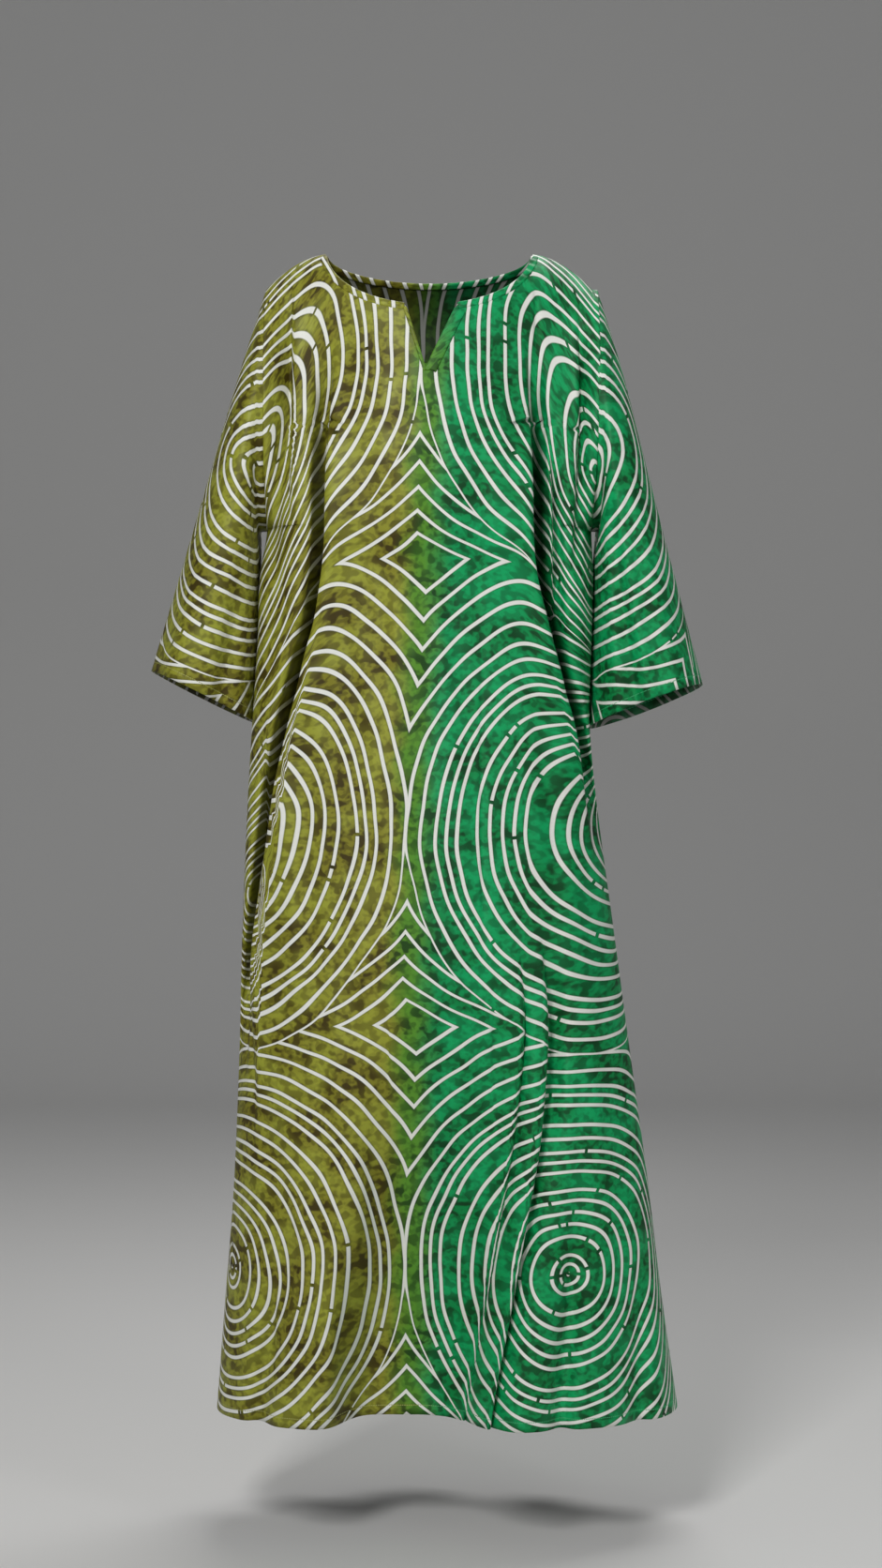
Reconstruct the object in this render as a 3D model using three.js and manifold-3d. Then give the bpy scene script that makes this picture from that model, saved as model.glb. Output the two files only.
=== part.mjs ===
// A full-length kaftan of light satin-finish cloth, hanging as it is worn, with nobody in it.
// Millimetres, +Z up, the front faces -Y, the wearer's left is +X. The origin lies midway
// between the two neck points, where the wearer's shoulders carry the gown.
//
// Cut pieces: front, back, two wide sleeves and the bias binding of the neck. The front and
// the back meet at the shoulder and side seams, and each sleeve is a tube sewn into the
// armhole. Every piece is one closed wall of cloth, built on a grid of points on its middle
// surface, and ends half a seam gap short of the seam line.
import * as THREE from 'three';
import { mergeVertices } from 'three/addons/utils/BufferGeometryUtils.js';
import Module from 'manifold-3d';

const wasm = await Module();
wasm.setup();

// ---------------------------------------------------------------- driving dimensions
const wall = 1.2;               // thickness of the cloth wall
const seamGap = 0.3;            // between two pieces along a seam
const shoulderDrop = 43;        // shoulder point below the neck point
const shoulderX = 194;          // sideways place of the shoulder point
const fallStart = 115;          // the shoulder seam is level as far as this from the middle
const underarmZ = -330;         // lowest point of the armhole
const hemZ = -1370;
const shoulderRound = 85;       // height over which the cloth turns from the seam to the chest
const armhole = { front: 80, back: 76 };        // depth of the armhole each way
const edgeSharpness = 6;        // how closely the armhole's bulge keeps to the panel's edge
const foldFade = 0.12;          // share of half a section over which folds fade to a seam
const roundTop = -200;          // the section is flat above this height
const roundHeight = 220;        // and fully rounded to its side seams this far below it
const neck = { halfWidth: 123, frontDrop: 68, backDrop: 26 };
const slit = { right: -28, left: 33, tipX: -4, tipZ: -152 };
const binding = { width: 8, thickness: 1.2, lift: 0.45 };

const upperRows = 12;           // shoulder to underarm, and half of a sleeve's ring
const lowerRows = 24;           // underarm to hem
const frontColumns = { inner: 12, outer: 9 };   // from the middle to a valley, and on to the side
const backColumns = { inner: 8, outer: 6 };
const sleeveRows = 11;
const sleeveSpread = 1.15;      // rows of a sleeve lie closer near the armhole
const denseSteps = 240;         // points that measure half a section before it is divided

// Side edges and depths of the body. right and left are distances from the middle, and round
// is 1 for an even curve to the side seam and less where the cloth hangs square beside it.
const bodySections = [
  { z: 0, right: 194, left: 200, front: 88, back: 80, round: 0.8 },
  { z: -150, right: 194, left: 200, front: 110, back: 94, round: 0.75 },
  { z: -250, right: 194, left: 197, front: 121, back: 98, round: 0.62 },
  { z: -330, right: 193, left: 193, front: 119, back: 94, round: 0.5 },
  { z: -385, right: 201, left: 195, front: 111, back: 90, round: 0.48 },
  { z: -460, right: 203, left: 193, front: 112, back: 96, round: 0.5 },
  { z: -560, right: 210, left: 190.5, front: 118, back: 108, round: 0.56 },
  { z: -664, right: 216, left: 200, front: 126, back: 118, round: 0.62 },
  { z: -804, right: 222, left: 219, front: 136, back: 128, round: 0.7 },
  { z: -960, right: 226, left: 240, front: 148, back: 140, round: 0.76 },
  { z: -1105, right: 232, left: 260, front: 158, back: 150, round: 0.8 },
  { z: -1237, right: 242, left: 276, front: 166, back: 158, round: 0.8 },
  { z: hemZ, right: 252, left: 295, front: 172, back: 166, round: 0.8 },
];

// Folds of the body. A fold passes through x at five heights, runs between from and to,
// comes up over the length ramp and is depth deep: minus is a trough, plus a ridge.
// sides is how squarely its walls stand, 2 for a round fold and 4 for a flat-bottomed one.
const pastHem = -3000;          // a fold that runs out over the hem at full depth
const levels = { chest: -200, waist: -390, hip: -600, knee: -950, hem: hemZ };
const frontFolds = [
  // the swing of the skirt in to the waist, one deep valley each side
  { chest: -115, waist: -119, hip: -166, knee: -214, hem: -250,
    from: -190, to: -1040, ramp: 150, width: 16, depth: -58, sides: 2 },
  { chest: 117, waist: 119, hip: 174, knee: 236, hem: 290,
    from: -140, to: -730, ramp: 150, width: 16, depth: -58, sides: 2 },
  // drapes between those valleys and the armholes
  { chest: -163, waist: -184, hip: -190, knee: -200, hem: -210,
    from: -60, to: -420, ramp: 90, width: 9, depth: -14, sides: 2 },
  { chest: 140, waist: 143, hip: 150, knee: 160, hem: 170,
    from: -240, to: -560, ramp: 110, width: 8, depth: -24, sides: 2 },
  { chest: 176, waist: 166, hip: 172, knee: 180, hem: 190,
    from: -70, to: -420, ramp: 90, width: 8, depth: -13, sides: 2 },
  // the skirt hangs back between the legs and stands forward over each
  { chest: 20, waist: 20, hip: 20, knee: 20, hem: -28,
    from: -800, to: pastHem, ramp: 560, width: 80, depth: -104, sides: 4 },
  { chest: 178, waist: 178, hip: 178, knee: 184, hem: 150,
    from: -1060, to: pastHem, ramp: 220, width: 13, depth: -18, sides: 2 },
  { chest: 245, waist: 245, hip: 245, knee: 246, hem: 243,
    from: -1120, to: pastHem, ramp: 200, width: 13, depth: -14, sides: 2 },
  { chest: -140, waist: -140, hip: -140, knee: -140, hem: -196,
    from: -1080, to: pastHem, ramp: 260, width: 15, depth: -20, sides: 2 },
];
const backFolds = [
  { chest: -104, waist: -106, hip: -140, knee: -176, hem: -200,
    from: -170, to: pastHem, ramp: 180, width: 19, depth: -34, sides: 2 },
  { chest: 104, waist: 106, hip: 138, knee: 182, hem: 214,
    from: -170, to: pastHem, ramp: 180, width: 19, depth: -34, sides: 2 },
  { chest: -30, waist: -34, hip: -46, knee: -66, hem: -84,
    from: -330, to: pastHem, ramp: 330, width: 24, depth: -30, sides: 2 },
  { chest: 34, waist: 36, hip: 44, knee: 62, hem: 92,
    from: -420, to: pastHem, ramp: 380, width: 22, depth: -34, sides: 2 },
  { chest: 6, waist: 4, hip: 2, knee: 4, hem: 6,
    from: -700, to: pastHem, ramp: 400, width: 24, depth: 18, sides: 2 },
];

// Sleeves, from the armhole (along 0) to the cuff (along 1). The ring at each row spans from
// the outer line to the inner line, and bulges to the front and the back of that chord.
const sleeves = {
  sleeve_right: {
    side: -1,
    rows: [
      { along: 0, outX: 194, outZ: -43, inX: 193, inZ: -330, front: 80, back: 76, tilt: 0 },
      { along: 0.12, outX: 203, outZ: -72, inX: 203, inZ: -333, front: 84, back: 82, tilt: 0 },
      { along: 0.35, outX: 228, outZ: -150, inX: 206, inZ: -362, front: 90, back: 90, tilt: 1 },
      { along: 0.6, outX: 260, outZ: -258, inX: 206.5, inZ: -425, front: 95, back: 98, tilt: 3 },
      { along: 0.8, outX: 293, outZ: -369, inX: 208.5, inZ: -490, front: 97, back: 102, tilt: 5 },
      { along: 1, outX: 331, outZ: -494, inX: 213.5, inZ: -554, front: 98, back: 106, tilt: 8 },
    ],
    folds: [
      { angle: 118, width: 13, depth: -15, from: 0.45 },
      { angle: 62, width: 16, depth: 7, from: 0.5 },
      { angle: 250, width: 17, depth: -16, from: 0.3 },
      { angle: 300, width: 17, depth: -12, from: 0.4 },
    ],
  },
  sleeve_left: {
    side: 1,
    rows: [
      { along: 0, outX: 200, outZ: -43, inX: 193, inZ: -330, front: 80, back: 76, tilt: 0 },
      { along: 0.12, outX: 209, outZ: -72, inX: 202, inZ: -333, front: 84, back: 82, tilt: 0 },
      { along: 0.35, outX: 233, outZ: -152, inX: 201, inZ: -362, front: 90, back: 90, tilt: 2 },
      { along: 0.6, outX: 261, outZ: -262, inX: 198, inZ: -425, front: 96, back: 98, tilt: 5 },
      { along: 0.8, outX: 291, outZ: -377, inX: 196, inZ: -492, front: 99, back: 103, tilt: 9 },
      { along: 1, outX: 326, outZ: -508, inX: 194, inZ: -558, front: 100, back: 108, tilt: 13 },
    ],
    folds: [
      { angle: 106, width: 12, depth: -20, from: 0.25 },
      { angle: 78, width: 13, depth: -10, from: 0.1 },
      { angle: 245, width: 17, depth: -16, from: 0.3 },
      { angle: 305, width: 17, depth: -12, from: 0.4 },
    ],
  },
};

// ---------------------------------------------------------------- small tools
const clamp = (value) => Math.min(1, Math.max(0, value));
const smooth = (value) => clamp(value) ** 2 * (3 - 2 * clamp(value));
const lerp = (a, b, t) => a + (b - a) * t;

// A smooth curve through the rows of a table: column as a function of key.
function tableValue(table, key, column, value) {
  const direction = Math.sign(table[table.length - 1][key] - table[0][key]);
  let i = 0;
  while (i < table.length - 2 && direction * (value - table[i + 1][key]) > 0) i += 1;
  const row = (index) => table[Math.min(table.length - 1, Math.max(0, index))];
  const slope = (index) => {
    const before = row(index - 1);
    const after = row(index + 1);
    return (after[column] - before[column]) / (after[key] - before[key]);
  };
  const [start, end] = [row(i), row(i + 1)];
  const span = end[key] - start[key];
  const t = clamp((value - start[key]) / span);
  const [t2, t3] = [t * t, t * t * t];
  return (2 * t3 - 3 * t2 + 1) * start[column] + (t3 - 2 * t2 + t) * span * slope(i)
    + (3 * t2 - 2 * t3) * end[column] + (t3 - t2) * span * slope(i + 1);
}
const section = (column, z) => tableValue(bodySections, 'z', column, z);

// ---------------------------------------------------------------- the body's surface
// Height of the shoulder seam: level beside the neck, then falling to the shoulder point.
function shoulderZ(x) {
  const fall = clamp((Math.abs(x) - fallStart) / (shoulderX - fallStart));
  return -shoulderDrop * fall * fall;
}

// How far the section is rounded to a side seam: flat above the underarm, full at the waist.
const roundness = (z) => smooth((roundTop - z) / roundHeight);

function foldX(fold, z) {
  const names = Object.keys(levels);
  const table = names.map((name) => ({ z: levels[name], x: fold[name] }));
  return tableValue(table, 'z', 'x', z);
}

// Outward push of all folds at one place of a body section.
function foldPush(folds, x, z) {
  let push = 0;
  for (const fold of folds) {
    const rise = smooth((fold.from - z) / fold.ramp) * smooth((z - fold.to) / fold.ramp);
    if (rise <= 0) continue;
    const across = Math.abs(x - foldX(fold, z)) / fold.width;
    push += fold.depth * rise * Math.exp(-(across ** fold.sides));
  }
  return push;
}

// One point of the front (face -1) or the back (face +1). turn runs from -1 at the wearer's
// right edge to 1 at the left edge; down from 0 at the shoulder seam to 1 at the underarm and
// below it.
function bodyPoint(face, turn, z, down) {
  const halfWidth = section(turn < 0 ? 'right' : 'left', z);
  const angle = turn * Math.PI / 2;
  const round = roundness(z);
  const x = halfWidth * lerp(turn, Math.sin(angle), round);
  const depth = section(face < 0 ? 'front' : 'back', z);
  const fall = clamp((shoulderZ(x) - z) / shoulderRound);
  const middle = depth * Math.sqrt(1 - (1 - fall) ** 2);
  const edge = (face < 0 ? armhole.front : armhole.back) * 2 * Math.sqrt(down * (1 - down));
  const profile = Math.max(0, Math.cos(angle)) ** section('round', z);
  const fade = smooth((1 - Math.abs(turn)) / foldFade);
  const push = foldPush(face < 0 ? frontFolds : backFolds, x, z) * fade;
  const y = edge * Math.abs(turn) ** edgeSharpness + middle * profile + push;
  return new THREE.Vector3(x, face * y, z);
}

// A row of the body. Half a section is measured out finely and divided into equal lengths on
// each side of its deepest valley, so that a column of points follows the valley down.
const guideLimit = 0.78;        // the column stays this far in, where the valley meets the side
function bodyRow(face, row, columns) {
  const halves = [-1, 1].map((side) => {
    const dense = [];
    for (let k = 0; k <= denseSteps; k += 1) {
      const turn = side * k / denseSteps;
      if (row <= upperRows) {
        const down = (1 - Math.cos(Math.PI * row / upperRows)) / 2;
        const x = turn * section(side < 0 ? 'right' : 'left', 0);
        const z = lerp(shoulderZ(x), underarmZ, down);
        dense.push(bodyPoint(face, turn, z, down));
      } else {
        const z = lerp(underarmZ, hemZ, (row - upperRows) / lowerRows);
        dense.push(bodyPoint(face, turn, z, 1));
      }
    }
    const [fold] = (face < 0 ? frontFolds : backFolds).filter(({ chest }) => chest * side > 0);
    const z = dense[0].z;
    const guide = Math.min(Math.abs(foldX(fold, z)), guideLimit * Math.abs(dense.at(-1).x));
    const split = dense.findIndex((point) => Math.abs(point.x) >= guide);
    const inner = divide(dense.slice(0, split + 1), columns.inner);
    return [...inner, ...divide(dense.slice(split), columns.outer).slice(1)];
  });
  return [...halves[0].reverse(), ...halves[1].slice(1)];
}

// Divides a chain of points into equal lengths.
function divide(points, parts) {
  const lengths = [0];
  for (let k = 1; k < points.length; k += 1) {
    lengths.push(lengths[k - 1] + points[k].distanceTo(points[k - 1]));
  }
  const total = lengths[lengths.length - 1];
  const result = [];
  let k = 0;
  for (let part = 0; part <= parts; part += 1) {
    const goal = total * part / parts;
    while (k < points.length - 2 && lengths[k + 1] < goal) k += 1;
    const t = clamp((goal - lengths[k]) / (lengths[k + 1] - lengths[k]));
    result.push(points[k].clone().lerp(points[k + 1], t));
  }
  return result;
}

function bodyGrid(face, columns) {
  const rows = [];
  for (let row = 0; row <= upperRows + lowerRows; row += 1) {
    rows.push(bodyRow(face, row, columns));
  }
  return rows;
}

// ---------------------------------------------------------------- the sleeves' surface
// Ring points run from the outer line over the front to the inner line and back over the rear.
function sleeveGrid({ side, rows, folds }) {
  const grid = [];
  for (let row = 0; row <= sleeveRows; row += 1) {
    const along = (row / sleeveRows) ** sleeveSpread;
    const value = (column) => tableValue(rows, 'along', column, along);
    const outer = new THREE.Vector3(side * value('outX'), 0, value('outZ'));
    const inner = new THREE.Vector3(side * value('inX'), 0, value('inZ'));
    const middle = outer.clone().add(inner).multiplyScalar(0.5);
    const chord = outer.clone().sub(middle);
    const ring = [];
    for (let step = 0; step < 2 * upperRows; step += 1) {
      const angle = Math.PI * step / upperRows;
      let push = 1;
      for (const fold of folds) {
        const across = (THREE.MathUtils.radToDeg(angle) - fold.angle) / fold.width;
        const rise = smooth((along - fold.from) / (1 - fold.from));
        push += fold.depth / 100 * rise * Math.exp(-(across ** 2));
      }
      const depth = Math.sin(angle) > 0 ? value('front') : value('back');
      const point = middle.clone().addScaledVector(chord, Math.cos(angle) * push);
      point.y = -depth * Math.sin(angle) * push;
      point.z -= value('tilt') * (1 - Math.sin(angle)) / 2;
      ring.push(point);
    }
    grid.push(ring);
  }
  return grid;
}

// ---------------------------------------------------------------- walls
// Normals of a grid, turned so that they point out of the gown.
function gridNormals(grid, closed, flip) {
  return grid.map((line, j) => line.map((point, i) => {
    const count = line.length;
    const next = closed ? line[(i + 1) % count] : line[Math.min(count - 1, i + 1)];
    const last = closed ? line[(i + count - 1) % count] : line[Math.max(0, i - 1)];
    const below = grid[Math.min(grid.length - 1, j + 1)][i];
    const above = grid[Math.max(0, j - 1)][i];
    const normal = next.clone().sub(last).cross(below.clone().sub(above)).normalize();
    return normal.multiplyScalar(flip);
  }));
}

// A closed solid from a grid and its normals: outer face, inner face and the rims between.
function wallGeometry(grid, normals, closed, flip) {
  const rows = grid.length;
  const columns = grid[0].length;
  const positions = [];
  for (const offset of [wall / 2, -wall / 2]) {
    grid.forEach((line, j) => line.forEach((point, i) => {
      const moved = point.clone().addScaledVector(normals[j][i], offset);
      positions.push(moved.x, moved.y, moved.z);
    }));
  }
  const outer = (j, i) => j * columns + (i % columns);
  const inner = (j, i) => rows * columns + outer(j, i);
  const triangles = [];
  const quad = (a, b, c, d) => {
    if (flip > 0) triangles.push(a, b, c, a, c, d);
    else triangles.push(a, c, b, a, d, c);
  };
  const lastColumn = closed ? columns : columns - 1;
  for (let j = 0; j < rows - 1; j += 1) {
    for (let i = 0; i < lastColumn; i += 1) {
      quad(outer(j, i), outer(j, i + 1), outer(j + 1, i + 1), outer(j + 1, i));
      quad(inner(j, i), inner(j + 1, i), inner(j + 1, i + 1), inner(j, i + 1));
    }
  }
  for (let i = 0; i < lastColumn; i += 1) {
    quad(outer(0, i), inner(0, i), inner(0, i + 1), outer(0, i + 1));
    quad(outer(rows - 1, i), outer(rows - 1, i + 1), inner(rows - 1, i + 1), inner(rows - 1, i));
  }
  if (!closed) {
    const end = columns - 1;
    for (let j = 0; j < rows - 1; j += 1) {
      quad(outer(j, 0), outer(j + 1, 0), inner(j + 1, 0), inner(j, 0));
      quad(outer(j, end), inner(j, end), inner(j + 1, end), outer(j + 1, end));
    }
  }
  const geometry = new THREE.BufferGeometry();
  geometry.setAttribute('position', new THREE.Float32BufferAttribute(positions, 3));
  geometry.setIndex(triangles);
  return geometry;
}

function toSolid(geometry) {
  const bare = geometry.clone();
  bare.deleteAttribute('normal');
  bare.deleteAttribute('uv');
  const merged = mergeVertices(bare, 1e-4);
  return new wasm.Manifold(new wasm.Mesh({
    numProp: 3,
    vertProperties: new Float32Array(merged.attributes.position.array),
    triVerts: new Uint32Array(merged.index.array),
  }));
}

function toGeometry(solid) {
  const mesh = solid.getMesh();
  const raw = new THREE.BufferGeometry();
  raw.setAttribute('position', new THREE.Float32BufferAttribute(mesh.vertProperties, 3));
  raw.setIndex(Array.from(mesh.triVerts));
  const geometry = mergeVertices(raw, 0.02);
  const corners = geometry.index.array;
  const kept = [];
  for (let t = 0; t < corners.length; t += 3) {
    const [a, b, c] = corners.slice(t, t + 3);
    if (a !== b && b !== c && c !== a) kept.push(a, b, c);
  }
  geometry.setIndex(kept);
  return geometry;
}

// ---------------------------------------------------------------- seams
const lastRow = upperRows + lowerRows;
const front = bodyGrid(-1, frontColumns);
const back = bodyGrid(1, backColumns);
const frontNormals = gridNormals(front, false, -1);
const backNormals = gridNormals(back, false, 1);
const sleeveGrids = {};
const sleeveNormals = {};
for (const [name, sleeve] of Object.entries(sleeves)) {
  sleeveGrids[name] = sleeveGrid(sleeve);
  sleeveNormals[name] = gridNormals(sleeveGrids[name], true, sleeve.side);
}

// Gives the same normal to all edge points that meet at one place of a seam.
function shareNormal(normals) {
  const shared = new THREE.Vector3();
  normals.forEach((normal) => shared.add(normal));
  shared.normalize();
  normals.forEach((normal) => normal.copy(shared));
}

for (const [name, { side }] of Object.entries(sleeves)) {
  const frontEdge = side < 0 ? 0 : front[0].length - 1;
  const backEdge = side < 0 ? 0 : back[0].length - 1;
  const ring = sleeveGrids[name][0];
  const ringNormals = sleeveNormals[name][0];
  for (let row = 0; row <= lastRow; row += 1) {
    const meeting = [frontNormals[row][frontEdge], backNormals[row][backEdge]];
    if (row === 0 || row === upperRows) {
      shareNormal([...meeting, ringNormals[row]]);
    } else if (row < upperRows) {
      shareNormal([meeting[0], ringNormals[row]]);
      shareNormal([meeting[1], ringNormals[2 * upperRows - row]]);
    } else {
      shareNormal(meeting);
    }
    if (row <= upperRows) {
      ring[row].copy(front[row][frontEdge]);
      ring[(2 * upperRows - row) % (2 * upperRows)].copy(back[row][backEdge]);
    }
  }
}

// Along the shoulder seam both panels lie level, so the seam stands straight up there.
for (const normals of [frontNormals, backNormals]) {
  for (const normal of normals[0].slice(1, -1)) {
    normal.y = 0;
    normal.normalize();
  }
}

// Draws each edge half a gap back from its seam.
const pull = seamGap / 2;
for (const [face, grid] of [[-1, front], [1, back]]) {
  const end = grid[0].length - 1;
  grid.forEach((line, row) => {
    if (row > upperRows) {
      line[0].y += face * pull;
      line[end].y += face * pull;
    } else {
      line[0].x += pull;
      line[end].x -= pull;
    }
    if (row === upperRows) {
      line[0].y += face * pull;
      line[end].y += face * pull;
    }
  });
  for (const point of grid[0]) point.y += face * pull;
}
for (const [name, { side }] of Object.entries(sleeves)) {
  for (const point of sleeveGrids[name][0]) point.x += side * pull;
}

// ---------------------------------------------------------------- neck opening
// The opening as seen from the front: a shallow scoop, and on the front a slit down to a tip.
const scoopSteps = 20;
const cutter = { aboveSeam: 30, pastSeam: 10, length: 300 };
function neckShape(drop, withSlit) {
  const points = [];
  const scoop = (angle) => [neck.halfWidth * Math.sin(angle), -drop * Math.cos(angle)];
  for (let step = 0; step <= scoopSteps; step += 1) {
    const [x, z] = scoop(Math.PI * (step / scoopSteps - 0.5));
    if (!withSlit || x < slit.right || x > slit.left) points.push([x, z]);
    else if (points.at(-1)[0] < slit.right) {
      points.push(scoop(Math.asin(slit.right / neck.halfWidth)));
      points.push([slit.tipX, slit.tipZ]);
      points.push(scoop(Math.asin(slit.left / neck.halfWidth)));
    }
  }
  points.push([neck.halfWidth, cutter.aboveSeam], [-neck.halfWidth, cutter.aboveSeam]);
  return new THREE.Shape(points.map(([x, z]) => new THREE.Vector2(x, z)));
}

// Cuts the neck out of a panel with an upright block that runs forward or back of the seam.
function cutNeck(geometry, face) {
  const shape = face < 0 ? neckShape(neck.frontDrop, true) : neckShape(neck.backDrop, false);
  const block = new THREE.ExtrudeGeometry(shape, { depth: cutter.length, bevelEnabled: false });
  block.rotateX(Math.PI / 2);
  block.translate(0, face < 0 ? cutter.pastSeam : cutter.length - cutter.pastSeam, 0);
  return toGeometry(toSolid(geometry).subtract(toSolid(block)));
}

// ---------------------------------------------------------------- neck binding
// A point on the body's outer face, by x and by the drop below the shoulder seam, where the
// cloth stands straight up.
const probe = { across: 0.5, down: 0.02 };      // steps that measure the slope of the cloth
const seamDrop = 0.05;                          // this close to the seam counts as on it
function neckPoint(face, x, drop, lift) {
  const at = (px, pd) => {
    const z = shoulderZ(px) - pd;
    const down = clamp(pd / (shoulderZ(px) - underarmZ));
    const turn = px / section(px < 0 ? 'right' : 'left', 0);
    return bodyPoint(face, turn, z, down);
  };
  const point = at(x, drop);
  const normal = new THREE.Vector3(0, 0, 1);
  if (drop > seamDrop) {
    const across = at(x + probe.across, drop).sub(at(x - probe.across, drop));
    const along = at(x, drop + probe.down).sub(at(x, drop - probe.down));
    normal.copy(across.cross(along)).normalize().multiplyScalar(face);
  }
  return point.addScaledVector(normal, lift);
}

// The strip starts at the right top of the slit, runs round the neck and ends at the left top.
function bindingGeometry() {
  const quarter = 13;
  const stations = [];
  const addQuarter = (face, side, startAngle, forward) => {
    for (let step = 0; step <= quarter; step += 1) {
      const s = forward ? 1 - step / quarter : step / quarter;
      if (s === 0 && !forward) continue;
      if (s === 1 && !forward && face > 0 && side < 0) continue;
      if (s === 1 && forward && face > 0) continue;
      stations.push({ face, side, fromSeam: s * s * startAngle });
    }
  };
  const startRight = Math.PI / 2 - Math.asin(-slit.right / neck.halfWidth);
  const startLeft = Math.PI / 2 - Math.asin(slit.left / neck.halfWidth);
  addQuarter(-1, -1, startRight, true);
  addQuarter(1, -1, Math.PI / 2, false);
  stations.push({ face: 1, side: -1, fromSeam: Math.PI / 2 });
  addQuarter(1, 1, Math.PI / 2, true);
  addQuarter(-1, 1, startLeft, false);

  const acrossSteps = 2;
  const rings = stations.map(({ face, side, fromSeam }) => {
    const neckDrop = face < 0 ? neck.frontDrop : neck.backDrop;
    const [sin, cos] = [Math.cos(fromSeam), Math.sin(fromSeam)];
    const [nx, nd] = [sin / neck.halfWidth, cos / neckDrop];
    const length = Math.hypot(nx, nd);
    const ring = [];
    for (const top of [false, true]) {
      for (let k = 0; k <= acrossSteps; k += 1) {
        const out = binding.width * (top ? acrossSteps - k : k) / acrossSteps;
        const lift = wall / 2 + binding.lift + (top ? binding.thickness : 0);
        const x = side * (neck.halfWidth * sin + out * nx / length);
        ring.push(neckPoint(face, x, neckDrop * cos + out * nd / length, lift));
      }
    }
    return ring;
  });

  const size = 2 * (acrossSteps + 1);
  const positions = rings.flat().flatMap((point) => point.toArray());
  const triangles = [];
  for (let j = 0; j < rings.length - 1; j += 1) {
    for (let i = 0; i < size; i += 1) {
      const next = (i + 1) % size;
      const [a, b, c, d] = [j * size + i, j * size + next, (j + 1) * size + next, (j + 1) * size + i];
      triangles.push(a, b, c, a, c, d);
    }
  }
  const end = (rings.length - 1) * size;
  for (let k = 0; k < acrossSteps; k += 1) {
    const [a, b, c, d] = [k, k + 1, size - 2 - k, size - 1 - k];
    triangles.push(a, c, b, a, d, c);
    triangles.push(end + a, end + b, end + c, end + a, end + c, end + d);
  }
  const geometry = new THREE.BufferGeometry();
  geometry.setAttribute('position', new THREE.Float32BufferAttribute(positions, 3));
  geometry.setIndex(triangles);
  return geometry;
}

// ---------------------------------------------------------------- the gown
const olive = new THREE.MeshStandardMaterial({ color: 0x84863a, roughness: 0.5, metalness: 0 });
const emerald = new THREE.MeshStandardMaterial({ color: 0x1f9a5b, roughness: 0.5, metalness: 0 });
const blend = new THREE.MeshStandardMaterial({ color: 0x55904b, roughness: 0.5, metalness: 0 });

const gown = new THREE.Group();
function add(name, geometry, material) {
  const mesh = new THREE.Mesh(geometry, material);
  mesh.name = name;
  gown.add(mesh);
}

add('front_panel', cutNeck(wallGeometry(front, frontNormals, false, -1), -1), blend);
add('back_panel', cutNeck(wallGeometry(back, backNormals, false, 1), 1), blend);
for (const [name, { side }] of Object.entries(sleeves)) {
  const geometry = wallGeometry(sleeveGrids[name], sleeveNormals[name], true, side);
  geometry.computeVertexNormals();
  add(name, geometry, side < 0 ? olive : emerald);
}
add('neck_binding', bindingGeometry(), blend);

export default gown;
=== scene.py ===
"""A full-length kaftan of resist-dyed satin-finish cloth, hanging as it is worn."""
import math

import bpy
import numpy as np
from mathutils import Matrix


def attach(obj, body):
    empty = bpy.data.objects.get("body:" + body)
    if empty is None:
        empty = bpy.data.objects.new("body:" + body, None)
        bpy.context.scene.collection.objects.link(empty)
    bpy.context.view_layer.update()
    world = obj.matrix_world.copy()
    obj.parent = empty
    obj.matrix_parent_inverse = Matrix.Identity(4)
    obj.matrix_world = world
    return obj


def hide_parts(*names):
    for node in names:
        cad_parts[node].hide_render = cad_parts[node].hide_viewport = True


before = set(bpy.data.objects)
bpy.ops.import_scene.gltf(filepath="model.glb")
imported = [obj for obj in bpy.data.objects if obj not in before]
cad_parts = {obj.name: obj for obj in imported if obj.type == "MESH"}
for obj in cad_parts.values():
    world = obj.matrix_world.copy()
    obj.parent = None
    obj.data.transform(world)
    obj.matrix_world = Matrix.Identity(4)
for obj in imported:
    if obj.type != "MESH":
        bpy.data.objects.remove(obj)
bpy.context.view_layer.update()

# ---------------------------------------------------------------- camera
# Level, straight in front of the gown and a little below its waist, far enough away to take
# in a standing wearer from head to foot. Distance and height are in metres.
camera_data = bpy.data.cameras.new("camera")
camera_data.sensor_fit = "VERTICAL"
camera_data.sensor_height = 36
view_height = 1.8726            # metres of the gown's middle plane that the frame takes in
view_distance = 3.4
camera_data.lens = camera_data.sensor_height * view_distance / view_height
camera = bpy.data.objects.new("camera", camera_data)
camera.location = (0.014, -view_distance, -0.632)
camera.rotation_euler = (math.radians(90), 0, 0)
bpy.context.scene.collection.objects.link(camera)
bpy.context.scene.camera = camera

# ---------------------------------------------------------------- front panel
# The front is one piece of light cloth, cut flared, with a scoop neck and a slit. It hangs
# from both shoulder seams: a deep valley runs down each side of the waist, and the skirt
# falls back between the legs. Tables are in millimetres, MM turns them into metres.
MM = 0.001
SHOULDER_POINT = 194
SHOULDER_DROP = 43
UNDERARM = -330
HEM = -1370
SHOULDER_ROUND = 85
FALL_START = 115
ROUND_TOP = -200                # from here down the panels curve round at their side edges
ROUND_HEIGHT = 220
EDGE_SHARPNESS = 6
FOLD_FADE = 0.12                # the share of a panel's half width in which folds fade out
ARMHOLE_DEPTH = {"front": 80, "back": 76}
CLOTH_THICKNESS = 0.9

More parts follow.
